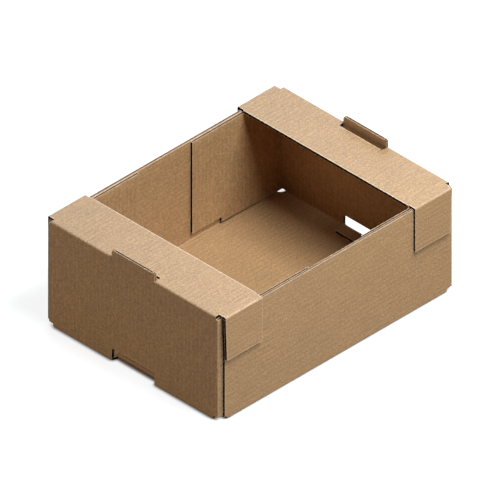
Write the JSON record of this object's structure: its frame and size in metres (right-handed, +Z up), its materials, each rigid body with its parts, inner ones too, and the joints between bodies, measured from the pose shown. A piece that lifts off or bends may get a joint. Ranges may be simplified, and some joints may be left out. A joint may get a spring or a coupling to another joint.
{
  "type": "cardboard tray box",
  "caption": "Open-topped corrugated cardboard stacking tray with shelves folded in along its ends, stacking tabs, matching notches and flaps glued to its long walls.",
  "frame": {"origin": "middle of the floor's underside", "axes": "+X along the long walls towards one end wall, +Y across the tray, +Z up"},
  "size_m": [0.394, 0.3, 0.1617],
  "materials": {
    "board": "uncoated brown kraft liner over corrugated fluting"
  },
  "bodies": {
    "root": {"tray": "board"}
  },
  "joints": []
}
